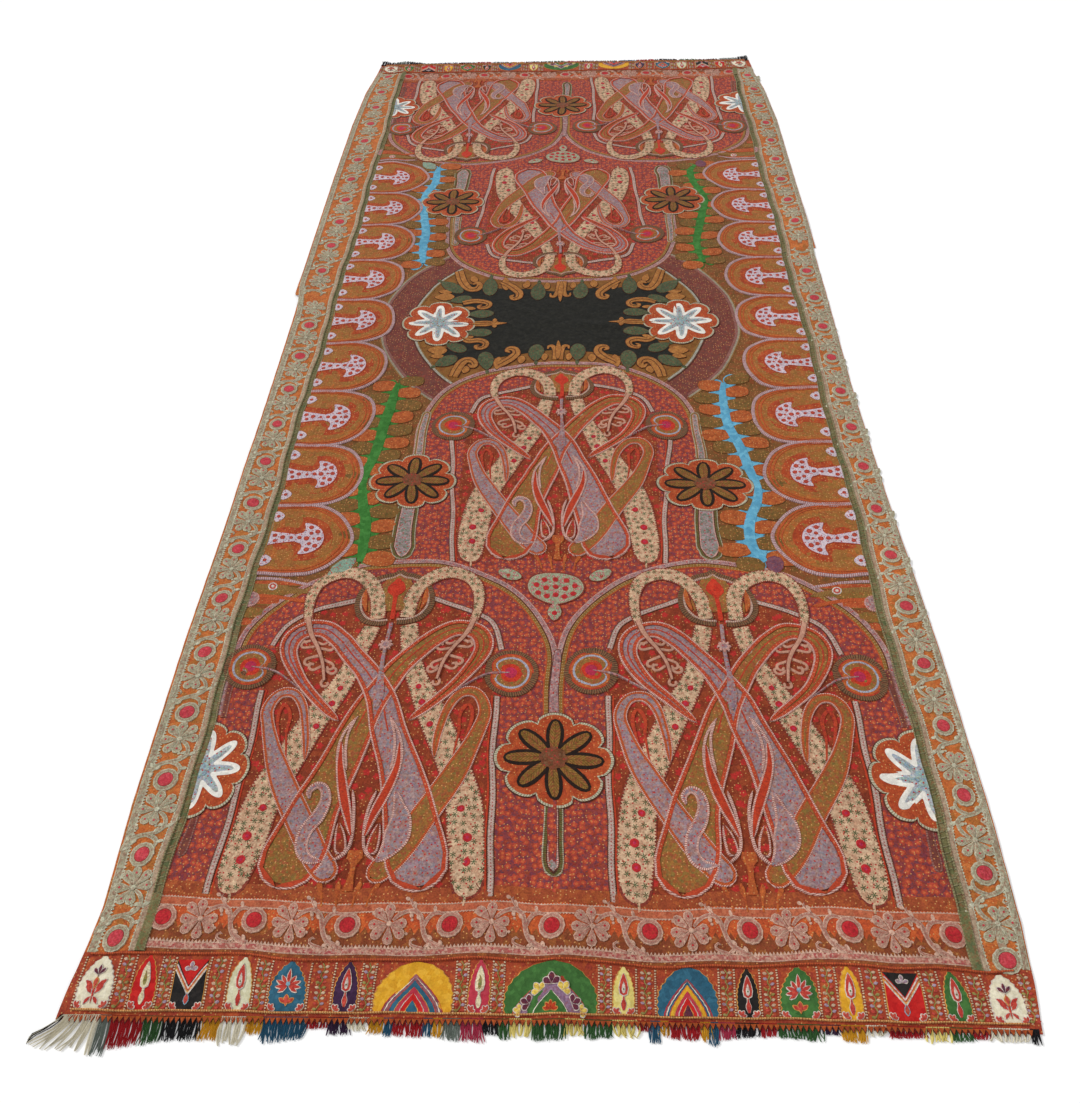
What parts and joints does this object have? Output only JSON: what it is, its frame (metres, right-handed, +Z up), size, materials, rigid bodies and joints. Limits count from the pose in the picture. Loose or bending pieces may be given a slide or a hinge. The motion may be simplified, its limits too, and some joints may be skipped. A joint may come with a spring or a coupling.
{
  "type": "paisley shawl",
  "caption": "Long pieced and embroidered wool shawl with a black centre, arched paisley panels, striped colour end borders and fringes, laid out flat.",
  "frame": {"origin": "on the surface it lies on, under the middle of the whole shawl with its fringes", "axes": "+X across the shawl to the right, +Y along it from the near end to the far end, +Z up"},
  "size_m": [1.44, 3.402, 0.0074],
  "materials": {
    "field": "wool twill covered with fine rust, red and olive embroidery, matt",
    "arch": "wool twill covered with fine red and rust embroidery, matt",
    "ring": "dusty mauve-brown embroidered wool, matt",
    "centre": "plain black wool twill with gold and green embroidery at its edge, matt",
    "border": "grey-green and orange embroidered wool border, matt",
    "cross": "orange and brown embroidered wool border with lilac scrolls, matt",
    "guard": "plain olive-green wool stripe, matt",
    "fringe": "twisted wool yarn in many colours, soft and matt",
    "cream": "cream wool panel with small embroidery, matt",
    "red": "red wool panel with small embroidery, matt",
    "black": "black wool panel with small embroidery, matt",
    "blue": "teal-blue wool panel with small embroidery, matt",
    "purple": "deep purple wool panel with small embroidery, matt",
    "yellow": "yellow wool panel with small embroidery, matt",
    "rose": "rose-red wool panel with small embroidery, matt",
    "green": "green wool panel with small embroidery, matt",
    "lemon": "pale yellow wool panel with small embroidery, matt"
  },
  "bodies": {
    "root": {"near_end_panel_01": "cream", "near_end_panel_02": "red", "near_end_panel_03": "black", "near_end_panel_04": "cream", "near_end_panel_05": "blue", "near_end_panel_06": "purple", "near_end_panel_07": "yellow", "near_end_panel_08": "rose", "near_end_panel_09": "green", "near_end_panel_10": "lemon", "near_end_panel_11": "blue", "near_end_panel_12": "black", "near_end_panel_13": "green", "near_end_panel_14": "yellow", "near_end_panel_15": "red", "near_end_panel_16": "green", "near_end_panel_17": "cream", "far_end_panel_01": "cream", "far_end_panel_02": "green", "far_end_panel_03": "red", "far_end_panel_04": "yellow", "far_end_panel_05": "green", "far_end_panel_06": "black", "far_end_panel_07": "blue", "far_end_panel_08": "lemon", "far_end_panel_09": "green", "far_end_panel_10": "rose", "far_end_panel_11": "yellow", "far_end_panel_12": "purple", "far_end_panel_13": "blue", "far_end_panel_14": "cream", "far_end_panel_15": "black", "far_end_panel_16": "red", "far_end_panel_17": "cream", "left_border_near": "border", "left_border_far": "border", "left_guard": "guard", "right_border_near": "border", "right_border_far": "border", "right_guard": "guard", "near_cross_border": "cross", "far_cross_border": "cross", "near_arched_field": "arch", "far_arched_field": "arch", "middle_near_arch": "arch", "middle_far_arch": "arch", "centre_field": "centre", "left_ring": "ring", "left_flank": "field", "right_ring": "ring", "right_flank": "field", "near_fringe": "fringe", "far_fringe": "fringe"}
  },
  "joints": []
}
